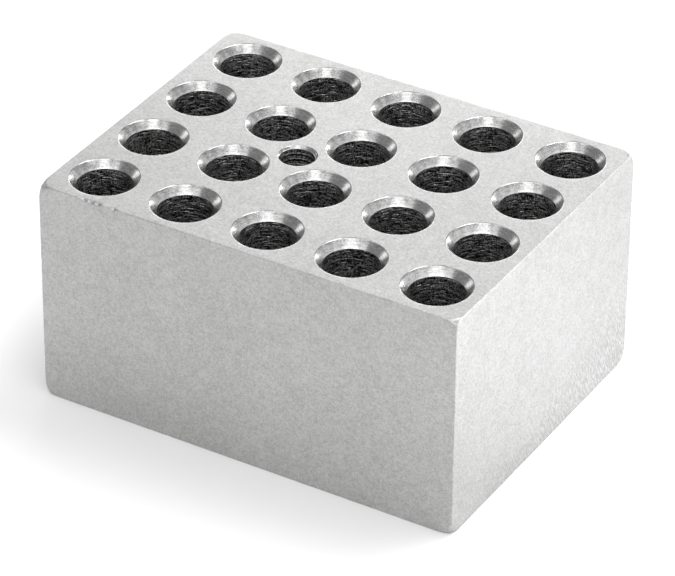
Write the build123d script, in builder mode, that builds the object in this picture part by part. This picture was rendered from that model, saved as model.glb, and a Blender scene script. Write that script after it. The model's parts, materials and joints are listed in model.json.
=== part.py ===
"""Heating block of a dry block heater: one solid block of aluminium, bored for twenty tubes.

The block stands on its flat base. X runs along its long side, Y along its short side and Z up.
The origin is the centre of the base. Every length is in millimetres.
"""

from build123d import *
from math import radians, tan
import os

# The block
BLOCK_LENGTH = 95.25  # along X, three and three quarter inches
BLOCK_WIDTH = 72.5  # along Y
BLOCK_HEIGHT = 50.0
EDGE_RADIUS = 0.5  # tumbling rounds every outside edge

# The wells, a centred grid of blind bores that hold the tubes
WELL_COLUMNS = 5
WELL_ROWS = 4
COLUMN_PITCH = 19.0
ROW_PITCH = 18.0
WELL_DIAMETER = 11.4
WELL_MOUTH_DIAMETER = 14.3  # where the lead-in chamfer meets the top face
WELL_CHAMFER_DEPTH = 1.6
WELL_DEPTH = 42.0  # from the top face to the end of the full bore

# The tapped hole for a screw-in lifting handle, M8 coarse thread
LIFT_BORE_DIAMETER = 6.8  # the tap drill, which is the thread's crest
LIFT_MOUTH_DIAMETER = 8.1
LIFT_COUNTERSINK_ANGLE = 90.0  # between opposite sides of the cone
LIFT_DEPTH = 22.0  # from the top face to the end of the full bore
LIFT_X = -COLUMN_PITCH / 2  # between the second and third columns
LIFT_Y = 0.0  # between the second and third rows

DRILL_POINT_ANGLE = 118.0  # between opposite sides of a twist drill's point
OVERRUN = 1.0  # how far a cutter stands above the top face


def drill_point(radius):
    """How far the cone that a twist drill leaves reaches past the full bore."""
    return radius / tan(radians(DRILL_POINT_ANGLE / 2))


# The two cutters stand on the Z axis with their mouths at the height of the top face.
well_radius = WELL_DIAMETER / 2
well_mouth_radius = WELL_MOUTH_DIAMETER / 2
well_floor = BLOCK_HEIGHT - WELL_DEPTH

with BuildPart() as well_cutter:
    with BuildSketch(Plane.XZ):
        with BuildLine():
            Polyline(
                (0, BLOCK_HEIGHT + OVERRUN),
                (well_mouth_radius, BLOCK_HEIGHT + OVERRUN),
                (well_mouth_radius, BLOCK_HEIGHT),
                (well_radius, BLOCK_HEIGHT - WELL_CHAMFER_DEPTH),
                (well_radius, well_floor),
                (0, well_floor - drill_point(well_radius)),
                close=True,
            )
        make_face()
    revolve(axis=Axis.Z)

lift_radius = LIFT_BORE_DIAMETER / 2
lift_mouth_radius = LIFT_MOUTH_DIAMETER / 2
lift_countersink_depth = (lift_mouth_radius - lift_radius) / tan(radians(LIFT_COUNTERSINK_ANGLE / 2))
lift_floor = BLOCK_HEIGHT - LIFT_DEPTH

with BuildPart() as lift_cutter:
    with BuildSketch(Plane.XZ):
        with BuildLine():
            Polyline(
                (0, BLOCK_HEIGHT + OVERRUN),
                (lift_mouth_radius, BLOCK_HEIGHT + OVERRUN),
                (lift_mouth_radius, BLOCK_HEIGHT),
                (lift_radius, BLOCK_HEIGHT - lift_countersink_depth),
                (lift_radius, lift_floor),
                (0, lift_floor - drill_point(lift_radius)),
                close=True,
            )
        make_face()
    revolve(axis=Axis.Z)

# The block is rounded first, so that only its outside edges are, and then bored from above.
with BuildPart() as heating_block:
    Box(BLOCK_LENGTH, BLOCK_WIDTH, BLOCK_HEIGHT, align=(Align.CENTER, Align.CENTER, Align.MIN))
    fillet(heating_block.edges(), EDGE_RADIUS)
    with GridLocations(COLUMN_PITCH, ROW_PITCH, WELL_COLUMNS, WELL_ROWS):
        add(well_cutter.part, mode=Mode.SUBTRACT)
    with Locations((LIFT_X, LIFT_Y)):
        add(lift_cutter.part, mode=Mode.SUBTRACT)

heating_block.part.label = "heating_block"
os.makedirs("parts", exist_ok=True)
export_step(heating_block.part, "parts/heating_block.step")
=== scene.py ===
"""Looks of a dry block heater's heating block: one machined aluminium block on a pale studio floor.

The block is one watertight mesh that stands for the CAD node heating_block. Its size and the places of its
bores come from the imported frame. Lengths are in millimetres until the mesh is finished, and Blender's metres
from there on.
"""
import json
import math
import random
from collections import namedtuple

import bmesh
import bpy
from mathutils import Matrix, Vector, noise
from mathutils.geometry import delaunay_2d_cdt


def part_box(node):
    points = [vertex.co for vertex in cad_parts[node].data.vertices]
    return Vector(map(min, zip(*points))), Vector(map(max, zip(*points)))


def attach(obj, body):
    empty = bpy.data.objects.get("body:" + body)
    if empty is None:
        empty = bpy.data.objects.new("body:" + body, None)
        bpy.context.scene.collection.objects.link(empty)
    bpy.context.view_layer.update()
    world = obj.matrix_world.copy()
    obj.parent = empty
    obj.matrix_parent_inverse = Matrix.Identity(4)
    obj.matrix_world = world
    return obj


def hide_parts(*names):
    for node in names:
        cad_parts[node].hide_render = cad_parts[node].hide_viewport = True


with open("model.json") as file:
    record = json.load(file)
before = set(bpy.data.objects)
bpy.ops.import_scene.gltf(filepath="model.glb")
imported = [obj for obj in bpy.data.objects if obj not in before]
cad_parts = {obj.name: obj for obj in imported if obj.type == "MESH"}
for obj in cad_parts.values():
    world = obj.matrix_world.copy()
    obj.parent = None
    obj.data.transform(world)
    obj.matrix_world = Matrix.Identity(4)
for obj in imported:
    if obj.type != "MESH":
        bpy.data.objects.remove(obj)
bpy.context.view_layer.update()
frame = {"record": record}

MM = 0.001
NODE = "heating_block"

# The block's outside: its half sizes about its centre, in millimetres.
box_low, box_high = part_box(NODE)
CENTRE = (box_low + box_high) / 2 / MM
HALF = (box_high - box_low) / 2 / MM
TOP = box_high.z / MM

# Edges as tumbling leaves them: softly rounded, rounder at the corners, uneven and a little nicked.
EDGE_RADIUS = 0.16
CORNER_RADIUS = 1.5
CORNER_REACH = 1.8
EDGE_UNEVENNESS = 0.04
EDGE_WAVE = 4.0  # length of the slow unevenness
EDGE_RIPPLE = 1.3  # length of the quick one
EDGE_RIPPLE_SHARE = 0.6  # how strong the quick one is against the slow one
NICK_COUNT = 46
NICK_SEED = 20
NICK_SPAN = 0.95  # the share of an edge, about its middle, that scattered nicks fall in
NICK_SIZES = 0.25, 0.7
NICK_DEPTHS = 0.08, 0.3
NICK_REACH = 3.0  # how far a nick is felt, in its own sizes
RIM_STEPS = (0.0, 0.06, 0.14, 0.25, 0.45, 0.8, 1.4)  # mesh lines beside an edge, by their distance from it
EDGE_SPACING = 0.36  # between mesh lines along an edge
PANEL_SPACING = 3.0  # between mesh points inside a flat side
PANEL_CLEARANCE = 0.8  # from those points to an opening
MESH_TOLERANCE = 1e-6  # of the triangles that fill a side
WELD_DISTANCE = 0.0005  # points nearer than this become one

# Wells: a chamfered mouth, a straight bore and a drill point.
WELL_SIDES = 96
WELL_MOUTH_RADIUS = 7.15
RIM_ROUNDING = 0.25
BORE_EDGE_ROUNDING = 0.06
DRILL_POINT_ANGLE = math.radians(118.0)
RIM_ARC_STEPS = 4
BORE_EDGE_ARC_STEPS = 3
CONE_SHARES = 0.33, 0.67  # rings of a well, by their share of the way down each stretch
WALL_SHARES = 0.05, 0.15, 0.3, 0.5, 0.7, 0.85, 1.0
DRILL_POINT_SHARES = 0.3, 0.6, 0.85

# Tapped hole for a lifting screw, M8 x 1.25, cut to the bottom of its tap drill less a short run-out.
THREAD_PITCH = 1.25
THREAD_MAJOR_RADIUS = 4.0
THREAD_FLANK_ANGLE = math.radians(30.0)
THREAD_CREST_SHARE = 0.25  # the width of a flat crest, as a share of the pitch
THREAD_RUNOUT = 4.0
THREAD_START_ANGLE = math.radians(85.0)
COUNTERSINK_RADIUS = 4.05
COUNTERSINK_ROUNDING = 0.12
THREAD_SIDES = 72
THREAD_STEP = 0.125

FACE, CHAMFER, BORE, THREAD = range(4)  # material slots of the block's mesh

Hole = namedtuple("Hole", "x y radius top bottom")


def holes_of_kind(kind):
    """The straight bores that the record mounts of one kind describe, in millimetres."""
    found = []
    for mount in frame["record"]["mounts"]:
        if mount["kind"] == kind:
            x, y, z = (value / MM for value in mount["pos_m"])
            reach = mount["dims"]["length_mm"] / 2
            found.append(Hole(x, y, mount["dims"]["r_mm"], z + reach, z - reach))
    return found


wells = holes_of_kind("bore")
lifting_hole = holes_of_kind("threaded_hole")[0]


class Skin:
    """The block's surface while it is built: points, faces and the finish of each face."""

    def __init__(self):
        self.points = []
        self.faces = []
        self.finishes = []

    def add_points(self, points):
        first = len(self.points)
        self.points.extend(points)
        return range(first, len(self.points))

    def add_face(self, corners, finish):
        self.faces.append(tuple(corners))
        self.finishes.append(finish)

    def add_rings(self, rings, finish_of):
        """Quads between closed rings of points. finish_of gives the finish of the band below ring k."""
        numbered = [self.add_points(ring) for ring in rings]
        for k, (upper, lower) in enumerate(zip(numbered, numbered[1:])):
            for i in range(len(upper)):
                j = (i + 1) % len(upper)
                self.add_face((upper[i], lower[i], lower[j], upper[j]), finish_of(k))
        return numbered[-1]

    def add_fan(self, ring, tip, finish):
        """Triangles from a closed ring to one point."""
        (centre,) = self.add_points([tip])
        for i in range(len(ring)):
            self.add_face((ring[i], centre, ring[(i + 1) % len(ring)]), finish)


# ---------------------------------------------------------------- the block's sides and edges

Nick = namedtuple("Nick", "place size depth")


def edge_nicks():
    """Small knocks along the edges: a few chosen on the top front edge, the rest scattered."""
    front, top = -HALF.y, HALF.z
    nicks = [
        Nick(Vector((-36.8, front, top)), 0.5, 1.0),
        Nick(Vector((-35.2, front, top)), 0.7, 1.0),
        Nick(Vector((-33.6, front, top)), 0.55, 1.1),
        Nick(Vector((-29.8, front, top)), 0.5, 0.9),
    ]
    draw = random.Random(NICK_SEED)
    for _ in range(NICK_COUNT):
        along = draw.randrange(3)
        place = Vector([HALF[axis] * draw.choice((-1, 1)) for axis in range(3)])
        place[along] = HALF[along] * draw.uniform(-NICK_SPAN, NICK_SPAN)
        nicks.append(Nick(place, draw.uniform(*NICK_SIZES), draw.uniform(*NICK_DEPTHS)))
    return nicks


NICKS = edge_nicks()


def edge_radius(point):
    """How round the edge nearest to a point of the sharp box is."""
    corner = Vector([math.copysign(HALF[axis], point[axis]) for axis in range(3)])
    nearness = math.exp(-((point - corner).length / CORNER_REACH) ** 2)
    radius = EDGE_RADIUS + (CORNER_RADIUS - EDGE_RADIUS) * nearness
    wave = noise.noise(point / EDGE_WAVE)
    ripple = noise.noise(point / EDGE_RIPPLE)
    radius += EDGE_UNEVENNESS * (wave + EDGE_RIPPLE_SHARE * ripple)
    for nick in NICKS:
        distance = (point - nick.place).length / nick.size
        if distance < NICK_REACH:
            radius += nick.depth * math.exp(-distance * distance)
    return radius


def rounded(point):
    """A point of the sharp box, moved on to the rounded one. Both are centred on the origin."""
    radius = edge_radius(point)
    core = Vector([max(radius - HALF[a], min(HALF[a] - radius, point[a])) for a in range(3)])
    return core + (point - core).normalized() * radius


def stations(half):
    """Places of the mesh lines across a side: close together at both ends, where the edges are."""
    start = RIM_STEPS[-1] - half
    count = round(-2 * start / EDGE_SPACING)
    middle = [start - 2 * start * i / count for i in range(1, count)]
    rim = [step - half for step in RIM_STEPS]
    return rim + middle + [-place for place in reversed(rim)]


def panel_points(half_u, half_v, openings):
    """A loose grid of points inside a flat side, clear of its border and its openings."""
    found = []
    columns = round(2 * half_u / PANEL_SPACING)
    rows = round(2 * half_v / PANEL_SPACING)
    for i in range(1, columns):
        for j in range(1, rows):
            point = Vector((half_u * (2 * i / columns - 1), half_v * (2 * j / rows - 1)))
            if all((point - centre).length > radius + PANEL_CLEARANCE for centre, radius, _ in openings):
                found.append(point)
    return found


def turned(centre, angle, radius):
    """The point at one angle and distance from a centre, in the plane."""
    return centre + Vector((math.cos(angle), math.sin(angle))) * radius


def circle(centre, radius, sides):
    """Points of a circle, anticlockwise from +X."""
    return [turned(centre, 2 * math.pi * i / sides, radius) for i in range(sides)]


def fill_panel(border, openings):
    """Triangles between a border and round openings. Returns their points and corner numbers."""
    loops = [border] + [circle(*opening) for opening in openings]
    half_u = max(point.x for point in border)
    half_v = max(point.y for point in border)
    points = []
    edges = []
    for loop in loops:
        first = len(points)
        points += loop
        edges += [(first + i, first + (i + 1) % len(loop)) for i in range(len(loop))]
    points += panel_points(half_u, half_v, openings)
    placed, _, triangles, _, _, _ = delaunay_2d_cdt(points, edges, [], 0, MESH_TOLERANCE)

    def is_solid(triangle):
        middle = sum((placed[i] for i in triangle), Vector((0, 0))) / 3
        return all(
            (middle - centre).length > radius * math.cos(math.pi / sides)
            for centre, radius, sides in openings
        )

    return placed, [triangle for triangle in triangles if is_solid(triangle)]


def add_side(skin, axis, sign, openings=()):
    """One side of the block, out to the middle of its rounded edges."""
    u_axis, v_axis = [other for other in range(3) if other != axis]
    us = stations(HALF[u_axis])
    vs = stations(HALF[v_axis])

    def placed(u, v):
        point = Vector((0, 0, 0))
        point[axis] = sign * HALF[axis]
        point[u_axis] = u
        point[v_axis] = v
        return rounded(point) + CENTRE

    rim = len(RIM_STEPS) - 1
    last_u = len(us) - 1 - rim
    last_v = len(vs) - 1 - rim
    numbers = {}
    for i, u in enumerate(us):
        for j, v in enumerate(vs):
            if not (rim < i < last_u and rim < j < last_v):
                (numbers[i, j],) = skin.add_points([placed(u, v)])
    for i in range(len(us) - 1):
        for j in range(len(vs) - 1):
            if not (rim <= i < last_u and rim <= j < last_v):
                corners = (i, j), (i + 1, j), (i + 1, j + 1), (i, j + 1)
                skin.add_face([numbers[corner] for corner in corners], FACE)

    border = [Vector((us[i], vs[rim])) for i in range(rim, last_u)]
    border += [Vector((us[last_u], vs[j])) for j in range(rim, last_v)]
    border += [Vector((us[i], vs[last_v])) for i in range(last_u, rim, -1)]
    border += [Vector((us[rim], vs[j])) for j in range(last_v, rim, -1)]
    points, triangles = fill_panel(border, openings)
    first = skin.add_points([placed(*point) for point in points])[0]
    for triangle in triangles:
        skin.add_face([first + i for i in triangle], FACE)


# ---------------------------------------------------------------- wells and the tapped hole

def softened(before, corner, after, radius, steps):
    """The arc that rounds one corner of a profile, tangent to the profile on both sides."""
    back = (before - corner).normalized()
    ahead = (after - corner).normalized()
    half_angle = back.angle(ahead) / 2
    centre = corner + (back + ahead).normalized() * (radius / math.sin(half_angle))
    start = corner + back * (radius / math.tan(half_angle)) - centre
    end = corner + ahead * (radius / math.tan(half_angle)) - centre
    sweep = start.angle_signed(end)
    turns = [-sweep * step / steps for step in range(steps + 1)]
    return [centre + Matrix.Rotation(turn, 2) @ start for turn in turns]


def ring_at(hole, radius, height, sides):
    """A level ring of points about a hole's axis."""
    centre = Vector((hole.x, hole.y))
    return [Vector((x, y, height)) for x, y in circle(centre, radius, sides)]


def well_profile(well):
    """Radius and height of a well's rings from its mouth down, and the finish of the band below each."""
    mouth = Vector((WELL_MOUTH_RADIUS, TOP))
    throat = Vector((well.radius, well.top))
    foot = Vector((well.radius, well.bottom))
    rim = softened(mouth + Vector((1, 0)), mouth, throat, RIM_ROUNDING, RIM_ARC_STEPS)
    lip = softened(mouth, throat, foot, BORE_EDGE_ROUNDING, BORE_EDGE_ARC_STEPS)
    cone = [rim[-1].lerp(lip[0], share) for share in CONE_SHARES]
    wall = [lip[-1].lerp(foot, share) for share in WALL_SHARES]
    point_depth = well.radius / math.tan(DRILL_POINT_ANGLE / 2)
    tip = Vector((0, well.bottom - point_depth))
    drill_cone = [foot.lerp(tip, share) for share in DRILL_POINT_SHARES]
    profile = rim + cone + lip + wall + drill_cone
    chamfer_bands = len(rim + cone + lip) - 1
    return profile, tip, chamfer_bands


def add_well(skin, well):
    """A well, from the rim of its mouth to its drill point."""
    profile, tip, chamfer_bands = well_profile(well)
    rings = [ring_at(well, radius, height, WELL_SIDES) for radius, height in profile]
    lowest = skin.add_rings(rings, lambda k: CHAMFER if k < chamfer_bands else BORE)
    skin.add_fan(lowest, Vector((well.x, well.y, tip.y)), BORE)


def well_opening(well):
    """Centre, radius and sides of the opening that a well leaves in the top."""
    profile, _, _ = well_profile(well)
    return Vector((well.x, well.y)), profile[0].x, WELL_SIDES


def thread_radius(hole, angle, height):
    """Radius of a right-hand internal thread: flat crests and roots, and flanks at 30 degrees."""
    depth = THREAD_MAJOR_RADIUS - hole.radius
    turn = ((height - TOP) / THREAD_PITCH - (angle - THREAD_START_ANGLE) / (2 * math.pi)) % 1.0
    from_crest = abs(turn - 0.5) * THREAD_PITCH  # half a pitch at the root, nothing in mid-crest
    climb = (from_crest - THREAD_CREST_SHARE * THREAD_PITCH / 2) / math.tan(THREAD_FLANK_ANGLE)
    end = hole.bottom + THREAD_RUNOUT
    fade = max(0.0, min(1.0, (height - end) / (2 * THREAD_PITCH)))
    return hole.radius + fade * max(0.0, min(depth, climb))


def lifting_hole_radius(hole, angle, height):
    """Radius of the countersunk, tapped hole at one angle and height."""
    countersink = COUNTERSINK_RADIUS - (TOP - height)
    return max(countersink, thread_radius(hole, angle, height))


def add_lifting_hole(skin, hole):
    """The tapped hole. Returns centre, radius and sides of the opening that it leaves in the top."""
    centre = Vector((hole.x, hole.y))
    steps = round((TOP - hole.bottom) / THREAD_STEP)
    heights = [TOP - (TOP - hole.bottom) * step / steps for step in range(steps + 1)]
    outer = Vector((COUNTERSINK_RADIUS, TOP))
    outwards = outer + Vector((1, 0))
    inwards = outer - Vector((1, 1))
    rim = softened(outwards, outer, inwards, COUNTERSINK_ROUNDING, RIM_ARC_STEPS)
    rings = [ring_at(hole, radius, height, THREAD_SIDES) for radius, height in rim]
    angles = [2 * math.pi * i / THREAD_SIDES for i in range(THREAD_SIDES)]
    for height in heights:
        if height < rim[-1].y - THREAD_STEP / 4:
            ring = []
            for angle in angles:
                x, y = turned(centre, angle, lifting_hole_radius(hole, angle, height))
                ring.append(Vector((x, y, height)))
            rings.append(ring)
    countersink_foot = TOP - (COUNTERSINK_RADIUS - hole.radius)
    lowest = skin.add_rings(rings, lambda k: CHAMFER if rings[k][0].z > countersink_foot else THREAD)
    point_depth = hole.radius / math.tan(DRILL_POINT_ANGLE / 2)
    skin.add_fan(lowest, Vector((hole.x, hole.y, hole.bottom - point_depth)), THREAD)
    return centre, rim[0].x, THREAD_SIDES


# ---------------------------------------------------------------- materials

# Linear colours, darkest and lightest, of the metal's finishes.
TUMBLED_SHADES = (0.37, 0.369, 0.365), (0.56, 0.56, 0.558)
CHAMFER_SHADES = (0.4, 0.399, 0.396), (0.56, 0.56, 0.558)
# The wells' colours are partly painted shade: their mix is darker on average than the faces', for the shade
# deep in the bores.
BORE_COLOURS_WITH_PAINTED_SHADE = (0.02, 0.0197, 0.0195), (0.85, 0.845, 0.84)
# The tapped hole's colours are painted shade: far darker than the metal, for the shade inside the hole.
THREAD_COLOURS_WITH_PAINTED_SHADE = (0.02, 0.0197, 0.0195), (0.22, 0.218, 0.216)


class Nodes:
    """A material's node tree, with short ways to add the nodes that the finishes share."""

    def __init__(self, name):
        self.material = bpy.data.materials.new(name)
        self.material.use_nodes = True
        self.tree = self.material.node_tree
        self.shader = self.tree.nodes["Principled BSDF"]
        self.place = self.add("ShaderNodeTexCoord").outputs["Object"]

    def add(self, kind, **settings):
        node = self.tree.nodes.new(kind)
        for name, value in settings.items():
            setattr(node, name, value)
        return node

    def link(self, source, target):
        self.tree.links.new(source, target)

    def mapped(self, place, socket, value):
        """Coordinates, changed by one setting of a mapping node: its rotation or its scale."""
        node = self.add("ShaderNodeMapping")
        node.inputs[socket].default_value = value
        self.link(place, node.inputs["Vector"])
        return node.outputs["Vector"]

    def noise(self, grain, detail=2.0, roughness=0.5, scale=(1.0, 1.0, 1.0), tilt=0.0):
        """Noise whose patches are about one grain across, in millimetres, tilted about X and stretched."""
        node = self.add("ShaderNodeTexNoise")
        node.inputs["Scale"].default_value = 1.0 / (grain * MM)
        node.inputs["Detail"].default_value = detail
        node.inputs["Roughness"].default_value = roughness
        place = self.mapped(self.place, "Rotation", (tilt, 0.0, 0.0)) if tilt else self.place
        self.link(self.mapped(place, "Scale", scale), node.inputs["Vector"])
        return node.outputs["Fac"]

    def remap(self, value, low, high, from_low=0.3, from_high=0.7):
        """A value between from_low and from_high, spread between low and high."""
        node = self.add("ShaderNodeMapRange")
        node.inputs["From Min"].default_value = from_low
        node.inputs["From Max"].default_value = from_high
        node.inputs["To Min"].default_value = low
        node.inputs["To Max"].default_value = high
        self.link(value, node.inputs["Value"])
        return node.outputs["Result"]

    def blend(self, *parts):
        """The sum of several values, each times its share."""
        total = None
        for value, share in parts:
            node = self.add("ShaderNodeMath", operation="MULTIPLY_ADD")
            node.inputs[1].default_value = share
            node.inputs[2].default_value = 0.0
            self.link(value, node.inputs[0])
            if total is not None:
                self.link(total, node.inputs[2])
            total = node.outputs["Value"]
        return total

    def product(self, first, second):
        """Two values multiplied."""
        node = self.add("ShaderNodeMath", operation="MULTIPLY")
        self.link(first, node.inputs[0])
        self.link(second, node.inputs[1])
        return node.outputs["Value"]

    def colour(self, value, dark, light):
        """A colour between dark and light, linear RGB."""
        node = self.add("ShaderNodeMix", data_type="RGBA")
        ends = {"A": dark, "B": light}
        for socket in node.inputs:
            if socket.type == "RGBA" and socket.name in ends:
                socket.default_value = (*ends[socket.name], 1.0)
        self.link(value, node.inputs["Factor"])
        return next(socket for socket in node.outputs if socket.type == "RGBA")

    def bump(self, height, distance, normal=None):
        """Relief of the given depth in millimetres, on top of another relief if there is one."""
        node = self.add("ShaderNodeBump")
        node.inputs["Distance"].default_value = distance * MM
        self.link(height, node.inputs["Height"])
        if normal is not None:
            self.link(normal, node.inputs["Normal"])
        return node.outputs["Normal"]

    def finish(self, colour, roughness, normal):
        """The material, as bare metal with these inputs."""
        self.shader.inputs["Metallic"].default_value = 1.0
        self.link(colour, self.shader.inputs["Base Color"])
        self.link(roughness, self.shader.inputs["Roughness"])
        self.link(normal, self.shader.inputs["Normal"])
        return self.material


# Slanting scuffs towards the foot of the right side.
SCUFF_TILT = math.radians(-22.0)
SCUFF_RISE = 0.25  # how much higher they reach for each millimetre towards the back
SCUFF_HEIGHT = 15.0  # where they end, half way along
SCUFF_FADE = 0.4, 0.05  # how far inside the side's plane they start, and how far inside it they are full


def scuffed_area(nodes, patches):
    """Where the right side is scuffed: towards its foot, higher up towards the back, in patches."""
    parts = nodes.add("ShaderNodeSeparateXYZ")
    nodes.link(nodes.place, parts.inputs["Vector"])
    start, full = ((HALF.x - inset) * MM for inset in SCUFF_FADE)
    right_side = nodes.remap(parts.outputs["X"], 0.0, 1.0, start, full)
    height = nodes.blend((parts.outputs["Z"], 1.0), (parts.outputs["Y"], -SCUFF_RISE))
    foot = nodes.remap(height, 1.0, 0.0, -SCUFF_RISE * HALF.y * MM, SCUFF_HEIGHT * MM)
    return nodes.product(nodes.product(right_side, foot), nodes.remap(patches, 0.5, 1.2))


def tumbled_aluminium():
    """The outside: milled, then tumbled to an even satin grey with a fine grain, and a little scuffed."""
    nodes = Nodes("tumbled_aluminium")
    grain = nodes.noise(0.6, roughness=0.65)
    speck = nodes.noise(0.3, detail=1.0)
    mottle = nodes.noise(2.6)
    cloud = nodes.noise(15.0)
    scuffs = nodes.noise(0.4, scale=(1.0, 1.0, 0.22), tilt=SCUFF_TILT)
    scuffed = nodes.product(nodes.remap(scuffs, -0.32, 0.2, 0.36, 0.64), scuffed_area(nodes, mottle))
    shade = nodes.blend((grain, 0.45), (speck, 0.3), (mottle, 0.15), (cloud, 0.1), (scuffed, 1.0))
    colour = nodes.colour(nodes.remap(shade, 0.0, 1.0, 0.36, 0.64), *TUMBLED_SHADES)
    roughness = nodes.remap(grain, 0.45, 0.53)
    relief = nodes.bump(mottle, 0.012)
    relief = nodes.bump(grain, 0.022, normal=relief)
    return nodes.finish(colour, roughness, relief)


def turned_chamfer():
    """Chamfers: cut by a rotating tool, smoother than the tumbled faces, with fine rings."""
    nodes = Nodes("turned_chamfer")
    rings = nodes.noise(0.22, detail=1.0, scale=(0.15, 0.15, 1.0))
    speckle = nodes.noise(0.35, detail=1.0)
    shade = nodes.blend((rings, 0.5), (speckle, 0.5))
    colour = nodes.colour(nodes.remap(shade, 0.0, 1.0, 0.36, 0.64), *CHAMFER_SHADES)
    roughness = nodes.remap(speckle, 0.21, 0.25)
    relief = nodes.bump(rings, 0.003)
    return nodes.finish(colour, roughness, relief)


def bored_wall_with_painted_shade():
    """Well walls: partly painted shade, a base colour darker on average than the faces' that stands for the
    shade deep in the bores, and partly the fine broken rings that a drill leaves.
    """
    nodes = Nodes("bored_wall_with_painted_shade")
    rings = nodes.noise(0.3, detail=1.0, scale=(0.16, 0.16, 1.0))
    speckle = nodes.noise(0.3, detail=1.0)
    shade = nodes.blend((rings, 0.45), (speckle, 0.55))
    # Painted shade: the mix's mean lies below the faces' grey to darken the bores; the rings and speckle are
    # the drill's marks.
    colour = nodes.colour(nodes.remap(shade, 0.0, 1.0, 0.43, 0.6), *BORE_COLOURS_WITH_PAINTED_SHADE)
    roughness = nodes.remap(speckle, 0.3, 0.42)
    relief = nodes.bump(rings, 0.22)
    return nodes.finish(colour, roughness, relief)


def cut_thread_with_painted_shade():
    """The tapped hole: painted shade, a base colour far darker than the metal's for the shade inside the hole,
    like the wells, with a little light on the thread.
    """
    nodes = Nodes("cut_thread_with_painted_shade")
    speckle = nodes.noise(0.3, detail=1.0)
    # Painted shade: a near-black colour stands in for the shade inside the tapped hole.
    colour = nodes.colour(nodes.remap(speckle, 0.0, 1.0, 0.4, 0.62), *THREAD_COLOURS_WITH_PAINTED_SHADE)
    roughness = nodes.remap(speckle, 0.3, 0.42)
    relief = nodes.bump(speckle, 0.08)
    return nodes.finish(colour, roughness, relief)


def studio_floor():
    """A plain matt white floor."""
    nodes = Nodes("studio_floor")
    nodes.shader.inputs["Base Color"].default_value = (0.9, 0.9, 0.9, 1.0)
    nodes.shader.inputs["Roughness"].default_value = 0.9
    nodes.shader.inputs["Specular IOR Level"].default_value = 0.0
    return nodes.material


# ---------------------------------------------------------------- the block

def build_block():
    """The block as one watertight mesh, with a material slot for each finish."""
    skin = Skin()
    openings = [well_opening(well) for well in wells]
    for well in wells:
        add_well(skin, well)
    openings.append(add_lifting_hole(skin, lifting_hole))
    for axis in range(3):
        for sign in (-1, 1):
            is_top = axis == 2 and sign == 1
            add_side(skin, axis, sign, openings if is_top else ())

    mesh = bpy.data.meshes.new("heating_block_skin")
    mesh.from_pydata([point * MM for point in skin.points], [], skin.faces)
    for material in (tumbled_aluminium(), turned_chamfer(), bored_wall_with_painted_shade(), cut_thread_with_painted_shade()):
        mesh.materials.append(material)
    mesh.polygons.foreach_set("material_index", skin.finishes)
    mesh.polygons.foreach_set("use_smooth", [True] * len(skin.faces))

    work = bmesh.new()
    work.from_mesh(mesh)
    bmesh.ops.remove_doubles(work, verts=work.verts, dist=WELD_DISTANCE * MM)
    bmesh.ops.recalc_face_normals(work, faces=work.faces)
    work.to_mesh(mesh)
    work.free()

    block = bpy.data.objects.new("heating_block_finished", mesh)
    bpy.context.scene.collection.objects.link(block)
    weighted = block.modifiers.new("weighted_normals", "WEIGHTED_NORMAL")
    weighted.weight = 50
    weighted.keep_sharp = False
    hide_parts(NODE)
    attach(block, "root")


# ---------------------------------------------------------------- floor, lights and camera

FLOOR_RADIUS = 0.8  # metres
FLOOR_SIDES = 128


def add_floor():
    """A round floor. It ends before all the softboxes but the nearest, to be evenly lit to its edge."""
    mesh = bpy.data.meshes.new("studio_floor")
    rim = [(*point, 0) for point in circle(Vector((0, 0)), FLOOR_RADIUS, FLOOR_SIDES)]
    mesh.from_pydata(rim, [], [range(FLOOR_SIDES)])
    mesh.materials.append(studio_floor())
    floor = bpy.data.objects.new("studio_floor", mesh)
    bpy.context.scene.collection.objects.link(floor)


def direction(azimuth, elevation):
    """Unit vector towards a place round the block. Azimuth is from -Y towards +X, in degrees."""
    turn = math.radians(azimuth)
    rise = math.radians(elevation)
    return Vector((math.sin(turn) * math.cos(rise), -math.cos(turn) * math.cos(rise), math.sin(rise)))


def add_softbox(name, azimuth, elevation, distance, width, height, power):
    """A rectangular area light that faces the middle of the block."""
    data = bpy.data.lights.new(name, "AREA")
    data.shape = "RECTANGLE"
    data.size = width
    data.size_y = height
    data.energy = power
    light = bpy.data.objects.new(name, data)
    towards = direction(azimuth, elevation)
    light.location = CENTRE * MM + towards * distance
    light.rotation_mode = "QUATERNION"
    light.rotation_quaternion = towards.to_track_quat("Z", "Y")
    light.visible_camera = False
    bpy.context.scene.collection.objects.link(light)


# Sky: how bright it is near the horizon and above, and where it changes, as sines of the elevation.
SKY_LOW = 0.9
SKY_HIGH = 0.35
SKY_LOW_END = 0.12
SKY_HIGH_START = 0.22

# A dark card at the back left, which the chamfers' right ends mirror. Angles are in degrees, and the spread
# is counted from the card's middle.
DARK_CARD_AZIMUTH = 246.0
DARK_CARD_ELEVATION = 0.0
DARK_CARD_SPREAD = 11.0
DARK_CARD_CORE = 0.7  # the share of the spread inside which it is fully dark
DARK_CARD_LEVEL = 0.3  # what it leaves of the sky's light


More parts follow.
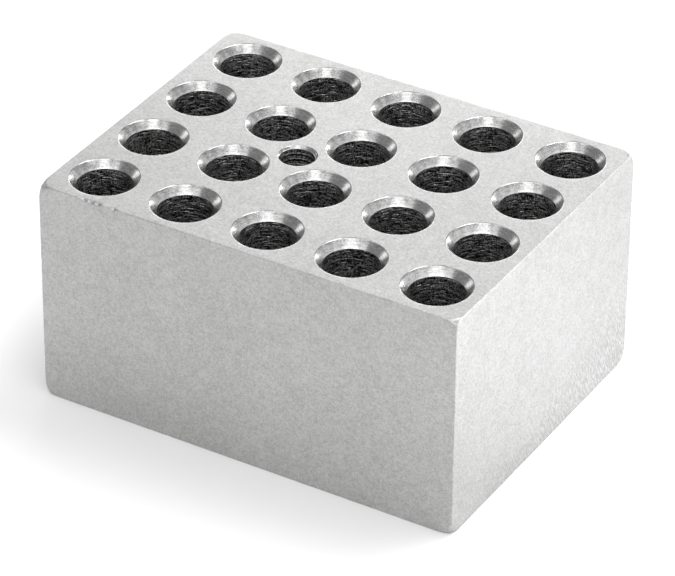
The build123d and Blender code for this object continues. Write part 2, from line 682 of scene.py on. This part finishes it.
def add_sky():
    """A pale studio room: light near the horizon, greyer above it, with one dark card."""
    world = bpy.data.worlds.new("studio")
    world.use_nodes = True
    tree = world.node_tree
    sky = tree.nodes["Background"]
    place = tree.nodes.new("ShaderNodeTexCoord")
    parts = tree.nodes.new("ShaderNodeSeparateXYZ")
    ramp = tree.nodes.new("ShaderNodeValToRGB")
    tree.links.new(place.outputs["Generated"], parts.inputs["Vector"])
    tree.links.new(parts.outputs["Z"], ramp.inputs["Fac"])
    tree.links.new(ramp.outputs["Color"], sky.inputs["Color"])
    low, high = ramp.color_ramp.elements
    low.position, low.color = SKY_LOW_END, (SKY_LOW, SKY_LOW, SKY_LOW, 1.0)
    high.position, high.color = SKY_HIGH_START, (SKY_HIGH, SKY_HIGH, SKY_HIGH, 1.0)

    facing = tree.nodes.new("ShaderNodeVectorMath")
    facing.operation = "DOT_PRODUCT"
    facing.inputs[1].default_value = direction(DARK_CARD_AZIMUTH, DARK_CARD_ELEVATION)
    tree.links.new(place.outputs["Generated"], facing.inputs[0])
    card = tree.nodes.new("ShaderNodeMapRange")
    card.inputs["From Min"].default_value = math.cos(math.radians(DARK_CARD_SPREAD))
    card.inputs["From Max"].default_value = math.cos(math.radians(DARK_CARD_SPREAD * DARK_CARD_CORE))
    card.inputs["To Min"].default_value = 1.0
    card.inputs["To Max"].default_value = DARK_CARD_LEVEL
    tree.links.new(facing.outputs["Value"], card.inputs["Value"])
    tree.links.new(card.outputs["Result"], sky.inputs["Strength"])
    bpy.context.scene.world = world


# Each softbox: name, azimuth and elevation in degrees, distance, width and height in metres, watts.
# Most of the watts are rounded from a least-squares fit to the photograph's tones.
SOFTBOXES = (
    ("key", 34.0, 43.0, 1.0, 0.77, 0.3, 1.6),
    ("key_left", 355.0, 41.0, 1.0, 0.62, 0.3, 0.8),
    ("key_right", 75.0, 38.0, 1.0, 0.73, 0.3, 0.8),
    ("right", 112.0, 29.0, 1.0, 0.7, 0.3, 0.5),
    ("back_right", 148.0, 18.0, 1.0, 0.7, 0.25, 0.35),
    ("front_high", 30.0, 65.0, 1.0, 0.4, 0.4, 1.0),
    ("front_left_high", 330.0, 65.0, 1.0, 0.4, 0.4, 0.7),
    ("right_high", 90.0, 65.0, 1.0, 0.4, 0.4, 0.9),
    ("back_high", 150.0, 65.0, 1.0, 0.4, 0.4, 4.6),
    ("left_high", 270.0, 65.0, 1.0, 0.4, 0.4, 1.0),
    ("left_low", 263.0, 13.0, 1.0, 0.3, 0.22, 0.32),
    ("back_left", 210.0, 20.0, 0.95, 0.45, 0.25, 1.5),
    ("right_low", 120.0, 6.0, 0.9, 0.45, 0.15, 3.7),
    ("right_middle", 90.0, 20.0, 0.95, 0.45, 0.25, 0.5),
    ("back_low", 172.0, 5.0, 0.9, 0.6, 0.13, 1.4),
    ("back_near", 200.0, 30.0, 0.3, 0.16, 0.05, 0.04),
)


# A narrow lamp above the floor at the block's right, in metres, radians and watts.
FLOOR_LIGHT_PLACE = (0.108, 0.03, 0.36)
FLOOR_LIGHT_SIZE = 0.04
FLOOR_LIGHT_SPREAD = math.radians(16.0)
FLOOR_LIGHT_POWER = 0.2


def add_floor_light():
    """A lamp straight down beside the block. The block's right side mirrors the bright floor under it."""
    data = bpy.data.lights.new("floor_right", "AREA")
    data.shape = "DISK"
    data.size = FLOOR_LIGHT_SIZE
    data.spread = FLOOR_LIGHT_SPREAD
    data.energy = FLOOR_LIGHT_POWER
    light = bpy.data.objects.new("floor_right", data)
    light.location = FLOOR_LIGHT_PLACE
    light.visible_camera = False
    bpy.context.scene.collection.objects.link(light)


def add_lights():
    """The sky, the softboxes and the lamp over the floor."""
    add_sky()
    for softbox in SOFTBOXES:
        add_softbox(*softbox)
    add_floor_light()


# Camera, fitted to the photograph: angles in degrees, lengths in metres, lens and sensor in millimetres.
CAMERA_AZIMUTH = 30.52
CAMERA_ELEVATION = 33.07
CAMERA_ROLL = 0.466
CAMERA_DISTANCE = 0.8613
CAMERA_LENS = 230.3
CAMERA_SENSOR = 36.0
CAMERA_NEAR = 0.05
CAMERA_FAR = 50.0
CAMERA_AIM = Vector((0.0066, -0.0112, 0.030))


def add_camera():
    """A long lens at the viewing angle, with a trace of roll."""
    back = direction(CAMERA_AZIMUTH, CAMERA_ELEVATION)
    level = direction(CAMERA_AZIMUTH + 90.0, 0.0)
    roll = math.radians(CAMERA_ROLL)
    right = level * math.cos(roll) + back.cross(level) * math.sin(roll)
    turn = Matrix((right, back.cross(right), back)).transposed().to_4x4()
    data = bpy.data.cameras.new("camera")
    data.lens = CAMERA_LENS
    data.sensor_width = CAMERA_SENSOR
    data.clip_start = CAMERA_NEAR
    data.clip_end = CAMERA_FAR
    camera = bpy.data.objects.new("camera", data)
    camera.matrix_world = Matrix.Translation(CAMERA_AIM + back * CAMERA_DISTANCE) @ turn
    bpy.context.scene.collection.objects.link(camera)
    bpy.context.scene.camera = camera


build_block()
add_floor()
add_lights()
add_camera()
bpy.context.scene.view_settings.view_transform = "Standard"
